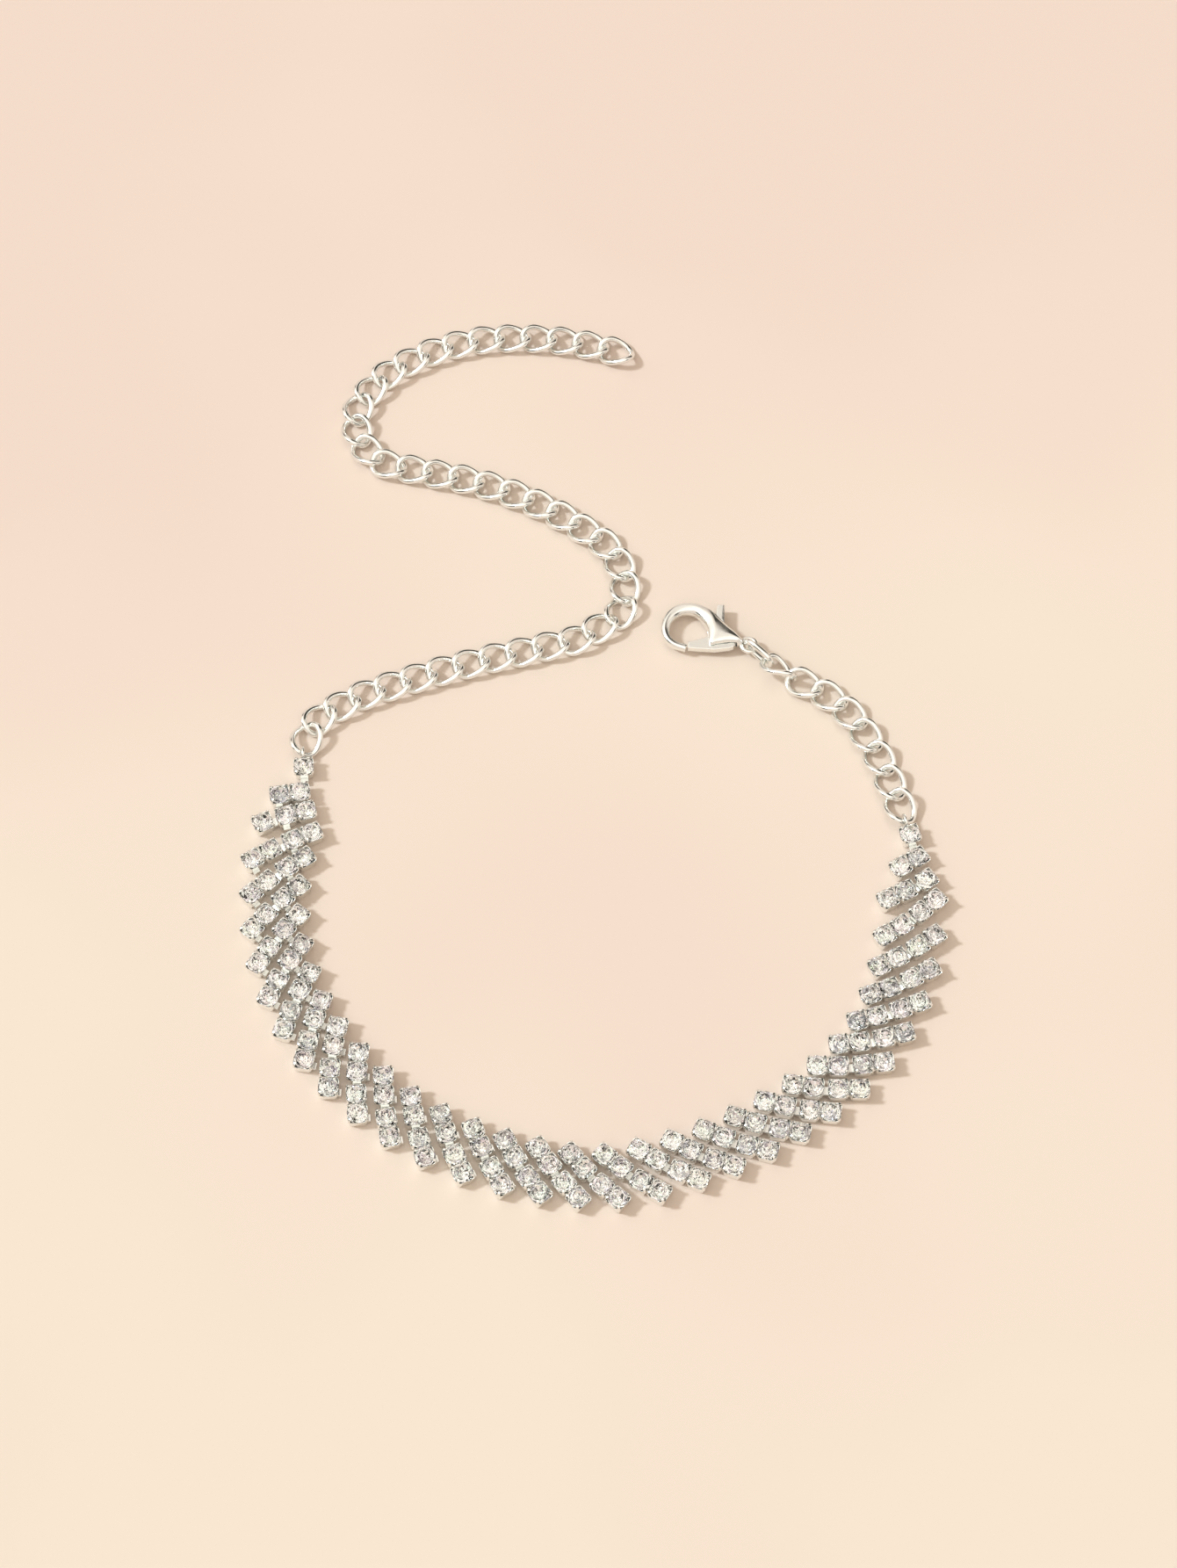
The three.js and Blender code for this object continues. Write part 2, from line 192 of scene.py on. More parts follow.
def light_room():
    """The room round the table, evenly bright but for its cards and gaps."""
    world = bpy.data.worlds.new("room")
    world.use_nodes = True
    bpy.context.scene.world = world
    nodes = Nodes(world.node_tree)
    look = nodes.add("TexCoord").outputs["Generated"]
    colour = (*ROOM, 1)
    for card in CARDS:
        white = Vector(CARD_TINT) * card["white"]
        colour = nodes.mix(card_share(nodes, look, card), colour, (*white, 1), "ADD")
    for gap in GAPS:
        colour = nodes.mix(card_share(nodes, look, gap), colour, (*GAP_TONE, 1))
    glow = nodes.add("Background", {"Color": colour, "Strength": 1.0})
    nodes.add("OutputWorld", {"Surface": glow.outputs[0]})


light_room()

FLOOR_HALF = 3.0  # metres, from the floor's middle to its edges
FLOOR_BELOW = 0.00001  # metres, from the bracelet's lowest point down to the floor
FLOOR_CLOUDS = {"Scale": 9.0, "Detail": 2.0}
# Painted shade: away from the view the floor's tone is pushed towards the darker pink, standing
# in for the light falling off.
FLOOR_PAINTED_FALLOFF = {"From Min": -0.06, "From Max": 0.08, "To Min": -0.15, "To Max": 0.2}  # metres in
FLOOR_TONES = [
    {"from": 0.38, "colour": (0.702, 0.598, 0.506)},
    {"from": 0.68, "colour": (0.674, 0.54, 0.469)},
]
FLOOR_SURFACE = {"Roughness": 0.7, "Specular IOR Level": 0.15}


def floor_material():
    """Matt paper, cream with pink clouds. Away from the view it grows pinker and darker, which is
    painted shade for the light falling off there.
    """
    material = bpy.data.materials.new("peach_paper")
    material.use_nodes = True
    nodes = Nodes(material.node_tree)
    place = nodes.add("TexCoord").outputs["Object"]
    clouds = nodes.add("TexNoise", {"Vector": place, **FLOOR_CLOUDS})
    parts = nodes.add("SeparateXYZ", {"Vector": place})
    # Painted shade: darker and pinker towards the far side.
    away = nodes.add("MapRange", {"Value": parts.outputs["Y"], **FLOOR_PAINTED_FALLOFF})
    spread = nodes.add("Math", {0: clouds.outputs["Fac"], 1: away.outputs[0]}, operation="ADD")
    tone = nodes.ramp(spread.outputs[0], FLOOR_TONES)
    paper = nodes.add("BsdfPrincipled", {"Base Color": tone, **FLOOR_SURFACE})
    nodes.add("OutputMaterial", {"Surface": paper.outputs[0]})
    return material


def make_floor():
    """A wide flat sheet under the bracelet."""
    mesh = bpy.data.meshes.new("floor")
    signs = [(-1, -1), (1, -1), (1, 1), (-1, 1)]
    corners = [(x * FLOOR_HALF, y * FLOOR_HALF, 0) for x, y in signs]
    mesh.from_pydata(corners, [], [(0, 1, 2, 3)])
    mesh.materials.append(floor_material())
    floor = bpy.data.objects.new("floor", mesh)
    bpy.context.scene.collection.objects.link(floor)
    floor.location.z = cad_low.z - FLOOR_BELOW


make_floor()

# ---- Shapes and pieces ----


def turned(x, y, z, degrees):
    """A place in the plan and the turn there."""
    return Matrix.Translation((x, y, z)) @ Matrix.Rotation(math.radians(degrees), 4, "Z")


def fuller(share, power):
    """Turns a circle's cosine or sine into a fuller curve's, if the power is under 1."""
    return math.copysign(abs(share) ** power, share)


class Shape:
    """Points and faces in millimetres, each face with a material number."""

    def __init__(self):
        self.points, self.faces, self.slots = [], [], []

    def add(self, other, place=Matrix.Identity(4)):
        base = len(self.points)
        self.points += [place @ point for point in other.points]
        self.faces += [tuple(base + i for i in face) for face in other.faces]
        self.slots += other.slots
        return self

    def skin(self, rings, loop=False):
        """Joins rings of points into a surface, closed at its ends or back on itself."""
        base, count = len(self.points), len(rings[0])
        for ring in rings:
            self.points += [Vector(point) for point in ring]
        for i in range(len(rings) if loop else len(rings) - 1):
            here, there = base + i * count, base + (i + 1) % len(rings) * count
            for k in range(count):
                along = (k + 1) % count
                self.face((here + k, here + along, there + along, there + k))
        if not loop:
            last = base + (len(rings) - 1) * count
            self.face(base + k for k in reversed(range(count)))
            self.face(last + k for k in range(count))
        return self

    def face(self, corners, slot=0):
        self.faces.append(tuple(corners))
        self.slots.append(slot)


def make_object(name, points, faces):
    """An object with all its faces looking outwards."""
    mesh = bpy.data.meshes.new(name)
    mesh.from_pydata(points, [], faces)
    work = bmesh.new()
    work.from_mesh(mesh)
    bmesh.ops.recalc_face_normals(work, faces=work.faces)
    work.to_mesh(mesh)
    work.free()
    made = bpy.data.objects.new(name, mesh)
    bpy.context.scene.collection.objects.link(made)
    return made


def make_piece(name, shape, materials, crease=35):
    """A shape in its place, in metres, smooth except over edges sharper than the crease.
    With no crease all its faces stay flat."""
    piece = make_object(name, [ORIGIN + point * MM for point in shape.points], shape.faces)
    for material in materials:
        piece.data.materials.append(material)
    piece.data.polygons.foreach_set("material_index", shape.slots)
    if crease > 0:
        piece.data.shade_smooth()
        piece.data.set_sharp_from_angle(angle=math.radians(crease))
    return piece


SILVER = (0.91, 0.925, 0.905)
PLATE_PATCHES = {"Scale": 900.0, "Detail": 3.0}
PLATE_GLOSS = {"from": 0.3, "to": 0.7, "least": 0.7, "most": 1.4}
PLATE_MARKS = {"Strength": 0.12, "Distance": 0.00002}  # metres deep
PLATE_MARK_DETAIL = 2.0


def silver_plate(name, roughness, grain):
    """Bright silver plate: nearly white metal, with faint polishing marks."""
    material = bpy.data.materials.new(name)
    material.use_nodes = True
    nodes = Nodes(material.node_tree)
    place = nodes.add("TexCoord").outputs["Object"]
    patches = nodes.add("TexNoise", {"Vector": place, **PLATE_PATCHES})
    gloss = nodes.add("MapRange", {
        "Value": patches.outputs["Fac"],
        "From Min": PLATE_GLOSS["from"], "From Max": PLATE_GLOSS["to"],
        "To Min": roughness * PLATE_GLOSS["least"], "To Max": roughness * PLATE_GLOSS["most"],
    })
    fine = nodes.add("TexNoise", {"Vector": place, "Scale": grain, "Detail": PLATE_MARK_DETAIL})
    bump = nodes.add("Bump", {"Height": fine.outputs["Fac"], **PLATE_MARKS})
    metal = nodes.add("BsdfPrincipled", {
        "Base Color": (*SILVER, 1), "Metallic": 1.0,
        "Roughness": gloss.outputs[0], "Normal": bump.outputs[0],
    })
    nodes.add("OutputMaterial", {"Surface": metal.outputs[0]})
    return material


# ---- The band's cups ----
# Each stone sits in a small square cup, stamped from thin brass, with a claw at each
# corner bent over the stone. Cups are soldered side by side into bars on flat strips,
# and the whole band is silver plated.

CUP = {"base": 1.0, "waist": 1.12, "rim": 1.2}  # half widths
CUP_CORNERS = {"base": 0.3, "waist": 0.46, "rim": 0.56}  # radii
CUP_HEIGHTS = {"floor": 0.45, "waist": 0.75, "rim_side": 1.46, "rim_corner": 1.6}
CUP_FOOT = {"in": 0.12, "up": 0.1}
CUP_WALL = 0.09
CUP_LIP = 0.02
RIM_RISE = {"from": 0.45, "power": 1.4}
SIDE_POINTS = 8
CUP_PITCH = 2.45
BAR_PITCH = 5.3
BAR_KINK = 8
STRIP = {"width": 1.1, "bottom": 0.2, "top": 0.6, "bevel": 0.06}
TAB = {"width": 0.9, "start": 0.85, "reach": 1.45, "aside": 0.2}  # from a cup's middle

# The claw's spine, out from the cup's middle and up, with its half width and half
# thickness there. Its outer face looks straight out at 90 and straight up at 180.
CLAW_SPINE = [
    {"out": 1.46, "up": 1.15, "half": 0.19, "thick": 0.05, "facing": 84},
    {"out": 1.49, "up": 1.50, "half": 0.19, "thick": 0.06, "facing": 90},
    {"out": 1.46, "up": 1.74, "half": 0.18, "thick": 0.08, "facing": 115},
    {"out": 1.34, "up": 1.90, "half": 0.17, "thick": 0.09, "facing": 145},
    {"out": 1.19, "up": 1.98, "half": 0.15, "thick": 0.08, "facing": 152},
    {"out": 1.07, "up": 2.02, "half": 0.09, "thick": 0.05, "facing": 155},
]
CLAW_SIDES = 8
CLAW_POWER = 0.7

# The band from the extender's end to the clasp's. The pitch is the way to the next row,
# the turn is how far the band bends there, and the slant is the row's angle to the band.
BAND_START = {"x": -35.55, "y": -2.0, "heading": -96}
BAND_STEPS = [
    {"rows": 1, "pitch": 3.9, "turn": -20, "cups": 2, "slant": 65},
    {"rows": 1, "pitch": 3.6, "turn": 42, "cups": 3, "slant": 66},
    {"rows": 1, "pitch": 3.95, "turn": -22, "cups": 4, "slant": 68},
    {"rows": 1, "pitch": 4.2, "turn": 4, "cups": 4, "slant": 48},
    {"rows": 5, "pitch": 4.2, "turn": 7.5, "cups": 4, "slant": 45},
    {"rows": 5, "pitch": 4.45, "turn": 6.5, "cups": 4, "slant": 45},
    {"rows": 3, "pitch": 4.15, "turn": 5.5, "cups": 4, "slant": 45},
    {"rows": 2, "pitch": 4.35, "turn": 10, "cups": 4, "slant": 45},
    {"rows": 5, "pitch": 4.15, "turn": 4.5, "cups": 4, "slant": 45},
    {"rows": 2, "pitch": 4.1, "turn": 7.5, "cups": 4, "slant": 45},
    {"rows": 1, "pitch": 4.05, "turn": 7, "cups": 4, "slant": 45},
    {"rows": 1, "pitch": 4.05, "turn": 10, "cups": 4, "slant": 46},
    {"rows": 1, "pitch": 4.15, "turn": 8, "cups": 4, "slant": 48},
    {"rows": 1, "pitch": 4.35, "turn": 6, "cups": 4, "slant": 49},
    {"rows": 1, "pitch": 4.5, "turn": -3, "cups": 4, "slant": 44},
    {"rows": 1, "pitch": 3.05, "turn": 23, "cups": 3, "slant": 61},
    {"rows": 1, "pitch": 3.9, "turn": 0, "cups": 2, "slant": 71},
]


def cup_places(count):
    """The cups of a row, inner end first, along the row's own x axis."""
    half = CUP_PITCH / 2
    if count == 2:
        return [turned(-half, 0, 0, 0), turned(half, 0, 0, 0)]
    inner = turned(-BAR_PITCH / 2, 0, 0, -BAR_KINK / 2)
    outer = turned(BAR_PITCH / 2, 0, 0, BAR_KINK / 2)
    places = [bar @ turned(side, 0, 0, 0) for bar in (inner, outer) for side in (-half, half)]
    return places[:count]


def walk_band():
    """Each row of the band: its place, its cups' places within it, and whether it has tabs."""
    steps = [step for step in BAND_STEPS for _ in range(step["rows"])]
    x, y, heading = BAND_START["x"], BAND_START["y"], BAND_START["heading"]
    rows = []
    for number, step in enumerate(steps, 1):
        place = turned(x, y, 0, heading + step["turn"] / 2 - step["slant"])
        rows.append({"place": place, "cups": cup_places(step["cups"]),
                     "tabs": number < len(steps)})
        heading += step["turn"]
        x += step["pitch"] * math.cos(math.radians(heading))
        y += step["pitch"] * math.sin(math.radians(heading))
    return rows


def square_ring(half, height, corner):
    """A square ring of points with rounded corners. Its height is a number, or worked out
    from a share that is 0 at the middle of a side and 1 at a corner."""
    spare = half - corner
    ring = []
    for side in range(4):
        turn = Matrix.Rotation(math.radians(90 * side), 3, "Z")
        for i in range(SIDE_POINTS):
            sweep = -45 + 90 * i / SIDE_POINTS
            spot = Vector((half, half * math.tan(math.radians(sweep)), 0))
            if abs(spot.y) > spare:
                middle = Vector((spare, math.copysign(spare, spot.y), 0))
                spot = middle + (spot - middle).normalized() * corner
            spot = turn @ spot
            z = height(abs(sweep) / 45) if callable(height) else height
            ring.append((spot.x, spot.y, z))
    return ring


def rim_height(share):
    """The rim is lower than the stone's edge at the sides, and rises to the corners."""
    low, high = CUP_HEIGHTS["rim_side"], CUP_HEIGHTS["rim_corner"]
    rise = max(0.0, (share - RIM_RISE["from"]) / (1 - RIM_RISE["from"]))
    return low + (high - low) * rise ** RIM_RISE["power"]


def inner_rim_height(share):
    """The rim's inner edge is a little lower than its outer one."""
    return rim_height(share) - CUP_LIP


def claw_shape():
    """A claw on the x axis, with flat faces and soft edges."""
    rings = []
    for spot in CLAW_SPINE:
        facing = math.radians(spot["facing"])
        outward = Vector((math.sin(facing), 0, -math.cos(facing))) * spot["thick"]
        sideways = Vector((0, spot["half"], 0))
        middle = Vector((spot["out"], 0, spot["up"]))
        ring = []
        for k in range(CLAW_SIDES):
            around = math.tau * k / CLAW_SIDES
            ring.append(middle + sideways * fuller(math.cos(around), CLAW_POWER)
                        + outward * fuller(math.sin(around), CLAW_POWER))
        rings.append(ring)
    return Shape().skin(rings)


def cup_shape():
    """A cup from its foot up the outside, over the rim and down to its floor, with claws."""
    base, waist, rim = CUP["base"], CUP["waist"], CUP["rim"]
    shape = Shape().skin([
        square_ring(base - CUP_FOOT["in"], 0.0, CUP_CORNERS["base"]),
        square_ring(base, CUP_FOOT["up"], CUP_CORNERS["base"]),
        square_ring(waist, CUP_HEIGHTS["waist"], CUP_CORNERS["waist"]),
        square_ring(rim, rim_height, CUP_CORNERS["rim"]),
        square_ring(rim - CUP_WALL, inner_rim_height, CUP_CORNERS["rim"] - CUP_WALL),
        square_ring(waist - CUP_WALL, CUP_HEIGHTS["waist"], CUP_CORNERS["waist"] - CUP_WALL),
        square_ring(waist - CUP_WALL * 2, CUP_HEIGHTS["floor"], CUP_CORNERS["waist"] - CUP_WALL),
    ])
    claw = claw_shape()
    for corner in range(4):
        shape.add(claw, Matrix.Rotation(math.radians(45 + 90 * corner), 4, "Z"))
    return shape


def strip_shape(start, end, width):
    """A flat strip of metal between two points, with bevelled edges."""
    middle = (start + end) / 2
    long = (end - start).length / 2
    half, bevel = width / 2, STRIP["bevel"]
    bottom, top = STRIP["bottom"], STRIP["top"]
    section = [(-half + bevel, bottom), (half - bevel, bottom), (half, bottom + bevel),
               (half, top - bevel), (half - bevel, top), (-half + bevel, top),
               (-half, top - bevel), (-half, bottom + bevel)]
    rings = [[Vector((along, across, z)) for across, z in section] for along in (-long, long)]
    heading = math.degrees(math.atan2(end.y - start.y, end.x - start.x))
    return Shape().add(Shape().skin(rings), turned(middle.x, middle.y, 0, heading))


def row_metal(row, cup):
    """A row's cups and strips, with a tab towards the next row at every second cup."""
    shape = Shape()
    for i, place in enumerate(row["cups"]):
        shape.add(cup, place)
        if i > 0:
            before = row["cups"][i - 1].translation
            shape.add(strip_shape(before, place.translation, STRIP["width"]))
        if row["tabs"] and i % 2 == 1:
            start = place @ Vector((TAB["aside"], TAB["start"], 0))
            end = place @ Vector((TAB["aside"], TAB["reach"], 0))
            shape.add(strip_shape(start, end, TAB["width"]))
    return shape


band_rows = walk_band()
plain_cup = cup_shape()
cup_metal = silver_plate("cup_silver", roughness=0.2, grain=5000.0)

band_metal = Shape()
for row in band_rows:
    band_metal.add(row_metal(row, plain_cup), row["place"])
band_cups = make_piece("band_cups", band_metal, [cup_metal])
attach(band_cups, "bracelet")
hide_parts(*[f"row_{i:02d}" for i in range(1, len(band_rows) + 1)])

# ---- The stones ----
# Round glass chatons, clear and brilliant cut, with mirror foil behind. No two are
# turned the same way in their cups.

STONE = {"table": 0.66, "star": 0.92, "girdle": 1.22}  # radii
STONE_HEIGHTS = {"tip": 0.5, "girdle_low": 1.5, "girdle_high": 1.58, "star": 1.94, "table": 2.2}
MAINS = 8  # the table's corners
STONE_LEAN = 4.0
STONE_SEED = 11
GLASS = {"Base Color": (1.0, 1.0, 1.0, 1), "Roughness": 0.0, "IOR": 1.6,
         "Transmission Weight": 1.0}
# The tint is the share of painted colour flashes mixed into the foil.
FOIL = {"patch_scale": 2700.0, "tint": 0.08, "tilt": 0.4, "roughness": 0.03}
# The foil's tones: the darkest is painted dark reflection, standing in for the dark facets of a
# cut stone, and the others are the foil's own silver.
FOIL_AND_PAINTED_DARK_TONES = [
    {"from": 0.0, "colour": (0.50, 0.51, 0.52)},
    {"from": 0.25, "colour": (0.90, 0.92, 0.94)},
    {"from": 0.29, "colour": (1.0, 1.0, 1.0)},
]


def stone_ring(radius, z, offset, count=MAINS):
    """Evenly spaced points round the stone, turned by a share of their spacing."""
    turns = [math.tau / count * (k + offset) for k in range(count)]
    return [Vector((radius * math.cos(turn), radius * math.sin(turn), z)) for turn in turns]


def stone_shape():
    """The table, stars, kites and upper halves in glass, then the pavilion in foil and the
    girdle in glass."""
    rings = {"table": stone_ring(STONE["table"], STONE_HEIGHTS["table"], 0),
             "star": stone_ring(STONE["star"], STONE_HEIGHTS["star"], 0.5),
             "top": stone_ring(STONE["girdle"], STONE_HEIGHTS["girdle_high"], 0, MAINS * 2),
             "low": stone_ring(STONE["girdle"], STONE_HEIGHTS["girdle_low"], 0, MAINS * 2),
             "tip": [Vector((0, 0, STONE_HEIGHTS["tip"]))]}
    shape = Shape()
    starts = {}
    for name, ring in rings.items():
        starts[name] = len(shape.points)
        shape.points += ring

    def at(name, k):
        return starts[name] + k % len(rings[name])

    shape.face(at("table", k) for k in range(MAINS))
    for k in range(MAINS):
        shape.face((at("table", k), at("star", k), at("table", k + 1)))
        shape.face((at("table", k), at("star", k - 1), at("top", 2 * k), at("star", k)))
        shape.face((at("star", k), at("top", 2 * k), at("top", 2 * k + 1)))
        shape.face((at("star", k), at("top", 2 * k + 1), at("top", 2 * k + 2)))
        shape.face((at("low", 2 * k), at("low", 2 * k + 1), at("tip", 0)), 1)
        shape.face((at("low", 2 * k + 1), at("low", 2 * k + 2), at("tip", 0)), 1)
    for k in range(MAINS * 2):
        shape.face((at("top", k), at("low", k), at("low", k + 1), at("top", k + 1)))
    return shape


def stone_glass():
    """Clear polished glass."""
    material = bpy.data.materials.new("stone_glass")
    material.use_nodes = True
    nodes = Nodes(material.node_tree)
    glass = nodes.add("BsdfPrincipled", GLASS)
    nodes.add("OutputMaterial", {"Surface": glass.outputs[0]})
    return material


def stone_foil():
    """Silver foil in small patches, each tipped its own way. The faint tints are painted colour
    flashes, and the darker patches are painted dark reflections like those a cut stone shows."""
    material = bpy.data.materials.new("stone_foil")
    material.use_nodes = True
    nodes = Nodes(material.node_tree)
    place = nodes.add("TexCoord").outputs["Object"]
    patches = nodes.add("TexVoronoi", {"Vector": place, "Scale": FOIL["patch_scale"]})
    patch_colour = patches.outputs["Color"]
    # Painted dark reflections in some patches, then a share of painted colour flashes mixed in.
    foil_and_painted_dark = nodes.ramp(patch_colour, FOIL_AND_PAINTED_DARK_TONES, "CONSTANT")
    colour = nodes.mix(FOIL["tint"], foil_and_painted_dark, patch_colour)
    normal = nodes.add("NewGeometry").outputs["Normal"]
    tip = nodes.add("VectorMath", {0: patch_colour, 1: (0.5, 0.5, 0.5)}, operation="SUBTRACT")
    tipped = nodes.add("VectorMath", {0: tip.outputs[0], 1: (FOIL["tilt"],) * 3, 2: normal},
                       operation="MULTIPLY_ADD")
    facing = nodes.add("VectorMath", {0: tipped.outputs[0]}, operation="NORMALIZE")
    foil = nodes.add("BsdfPrincipled", {
        "Base Color": colour, "Metallic": 1.0,
        "Roughness": FOIL["roughness"], "Normal": facing.outputs[0],
    })
    nodes.add("OutputMaterial", {"Surface": foil.outputs[0]})
    return material


chance = random.Random(STONE_SEED)


def settle(place):
    """A stone's place in its cup: turned at random and leaning a little."""
    spin = Matrix.Rotation(chance.uniform(0, math.tau), 4, "Z")
    across, along = chance.uniform(0, math.tau), chance.uniform(0, math.tau)
    axis = Vector((math.cos(across), math.sin(along), 0))
    lean = Matrix.Rotation(math.radians(chance.uniform(-STONE_LEAN, STONE_LEAN)), 4, axis)
    middle = Matrix.Translation((0, 0, STONE_HEIGHTS["girdle_low"]))
    return place @ middle @ lean @ spin @ middle.inverted()


stone = stone_shape()
stone_materials = [stone_glass(), stone_foil()]
band_stone_shape = Shape()
for row in band_rows:
    for place in row["cups"]:
        band_stone_shape.add(stone, settle(row["place"] @ place))
band_stones = make_piece("band_stones", band_stone_shape, stone_materials, crease=0)
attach(band_stones, "bracelet")
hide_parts(*[f"row_{i:02d}" for i in range(1, len(band_rows) + 1)])

# ---- The end cups ----
# One more cup ends the band at each side. It has an upright eye of thin wire for the
# chain and a flat tail towards the band, both soldered on.

EXTENDER_START = {"x": -34.0, "y": 1.6, "eye": 94, "heading": 87, "pitch": 3.3}
SHORT_START = {"x": 38.1, "y": -7.45, "eye": 106, "heading": 106, "pitch": 3.46}
EYE = {"radius": 0.82, "wire": 0.18, "stations": 40, "sides": 12}
EYE_MIDDLE = (1.88, 0, 1.02)
TAIL = {"width": 1.0, "start": 0.8, "reach": 1.85}


def wire_ring(radius, wire, stations, sides):
    """A ring of round wire, flat on the plan."""
    rings = []
    for i in range(stations):
        angle = math.tau * i / stations
        out = Vector((math.cos(angle), math.sin(angle), 0))
        section = []
        for k in range(sides):
            around = math.tau * k / sides
            section.append(out * (radius + wire * math.cos(around))
                           + Vector((0, 0, wire * math.sin(around))))
        rings.append(section)
    return Shape().skin(rings, loop=True)


def end_cup_metal():
    """A cup with its eye on the x axis and its tail behind."""
    upright = Matrix.Rotation(math.pi / 2, 4, "X")
    shape = Shape().add(plain_cup)
    shape.add(wire_ring(**EYE), Matrix.Translation(EYE_MIDDLE) @ upright)
    tip, root = Vector((-TAIL["reach"], 0, 0)), Vector((-TAIL["start"], 0, 0))
    return shape.add(strip_shape(tip, root, TAIL["width"]))


end_shape, end_stone_shape = Shape(), Shape()
for start in (EXTENDER_START, SHORT_START):
    place = turned(start["x"], start["y"], 0, start["eye"])
    end_shape.add(end_cup_metal(), place)
    end_stone_shape.add(stone, settle(place))
end_cups = make_piece("end_cups", end_shape, [cup_metal])
end_stones = make_piece("end_stones", end_stone_shape, stone_materials, crease=0)
for piece, slot in ((end_cups, "silver_plate"), (end_stones, "set_rhinestones")):
    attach(piece, "bracelet")
    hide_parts("end_cup_extender", "end_cup_clasp")

# ---- The chains ----
# Curb links of round wire, bent to ovals and twisted so that the chain lies flat. The
# long one is the extender, the short one carries the clasp.

# The wire is its radius, and the lap is how far a link reaches past half the pitch.
LINK = {"half_width": 1.63, "wire": 0.37, "twist": -36, "lap": 0.42}
LINK_STATIONS = 56
LINK_SIDES = 14
OVAL_POWER = 0.82
CUP_TO_LINK = 3.9
LINKS_PER_NODE = 4

# Each chain from its end cup on: how many links, and how far the chain turns at each.
EXTENDER_ENDS = {"first_raised": 0.2, "last_raised": 0, "last_roll": 0}
EXTENDER_STEPS = [
    {"links": 1, "turn": -23}, {"links": 1, "turn": -30}, {"links": 2, "turn": -6.5},
    {"links": 5, "turn": -1.5}, {"links": 2, "turn": 1}, {"links": 1, "turn": 16},
    {"links": 1, "turn": 9}, {"links": 1, "turn": 41}, {"links": 3, "turn": 19.5},
    {"links": 6, "turn": 4.5}, {"links": 2, "turn": 0.5}, {"links": 1, "turn": -25.5},
    {"links": 3, "turn": -27}, {"links": 2, "turn": -14}, {"links": 4, "turn": -7.5},
    {"links": 5, "turn": -5},
]
SHORT_ENDS = {"first_raised": 0.2, "last_raised": 0.71, "last_roll": 40}
SHORT_STEPS = [
    {"links": 2, "turn": 2}, {"links": 2, "turn": 6}, {"links": 2, "turn": 13},
    {"links": 1, "turn": 2}, {"links": 1, "turn": -12},
]


def link_shape(reach, half_width, twist):
    """A link along x. Its twist grows along its length, so neighbours cross."""
    sides = [math.tau * k / LINK_SIDES for k in range(LINK_SIDES)]
    rings = []
    for i in range(LINK_STATIONS):
        angle = math.tau * i / LINK_STATIONS
        along = fuller(math.cos(angle), OVAL_POWER)
        aside = fuller(math.sin(angle), OVAL_POWER)
        turn = Matrix.Rotation(math.radians(twist) * along, 3, "X")
        middle = turn @ Vector((reach * along, half_width * aside, 0))
        outward = turn @ Vector((along / reach, aside / half_width, 0)).normalized()
        upward = turn @ Vector((0, 0, 1))
        rings.append([middle + (outward * math.cos(side) + upward * math.sin(side)) * LINK["wire"]
                      for side in sides])
    return Shape().skin(rings, loop=True)


def link_rest(link):
    """How high a link's middle is when it lies flat."""
    return -min(point.z for point in link.points)


def chain_places(start, steps, ends, rest):
    """The place of every link, the first and the last of them raised or rolled."""
    turns = [step["turn"] for step in steps for _ in range(step["links"])]
    heading, pitch = start["heading"], start["pitch"]
    x = start["x"] + CUP_TO_LINK * math.cos(math.radians(heading))
    y = start["y"] + CUP_TO_LINK * math.sin(math.radians(heading))
    places = []
    for turn in turns:
        places.append(turned(x, y, rest, heading + turn / 2))
        heading += turn
        x += pitch * math.cos(math.radians(heading))
        y += pitch * math.sin(math.radians(heading))
    places[-1] = places[-1] @ Matrix.Rotation(math.radians(ends["last_roll"]), 4, "X")
    places[-1].translation.z += ends["last_raised"]
    places[0].translation.z += ends["first_raised"]
    return places


chain_metal = silver_plate("chain_silver", roughness=0.16, grain=3000.0)


def make_chain(name, node, start, steps, ends):
    """One chain as a piece, in place of the nodes whose names start with node."""
    link = link_shape(start["pitch"] / 2 + LINK["lap"], LINK["half_width"], LINK["twist"])
    places = chain_places(start, steps, ends, link_rest(link))
    shape = Shape()
    for place in places:
        shape.add(link, place)
    chain = make_piece(name, shape, [chain_metal], crease=60)
    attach(chain, "bracelet")
    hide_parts(*[f"{node}_{i + 1:02d}" for i in range(len(places) // LINKS_PER_NODE)])


make_chain("extender_chain", "extender_links", EXTENDER_START, EXTENDER_STEPS, EXTENDER_ENDS)
make_chain("short_chain", "short_links", SHORT_START, SHORT_STEPS, SHORT_ENDS)

# ---- The connecting link ----
# A plain oval link that stands on edge and joins the short chain to the clasp's eyelet.

OVAL = {"reach": 2.0, "half_width": 1.24}
STANDING = {"z": 1.63, "heading": -43, "roll": 95, "slope": 4}

place = (turned(*LINK_MIDDLE, STANDING["z"], STANDING["heading"])
         @ Matrix.Rotation(math.radians(STANDING["slope"]), 4, "Y")
         @ Matrix.Rotation(math.radians(STANDING["roll"]), 4, "X"))
oval = Shape().add(link_shape(OVAL["reach"], OVAL["half_width"], twist=0), place)
connecting = make_piece("clasp_link", oval, [chain_metal], crease=60)
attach(connecting, "bracelet")
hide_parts("connecting_link")

# ---- The clasp's body ----
# A lobster clasp's body is cast in one piece: a teardrop shoulder that runs out into
# the hook, with a slot for the lever, and an eyelet at its neck. It is tumbled smooth
# and plated. A riveted pin crosses the slot.

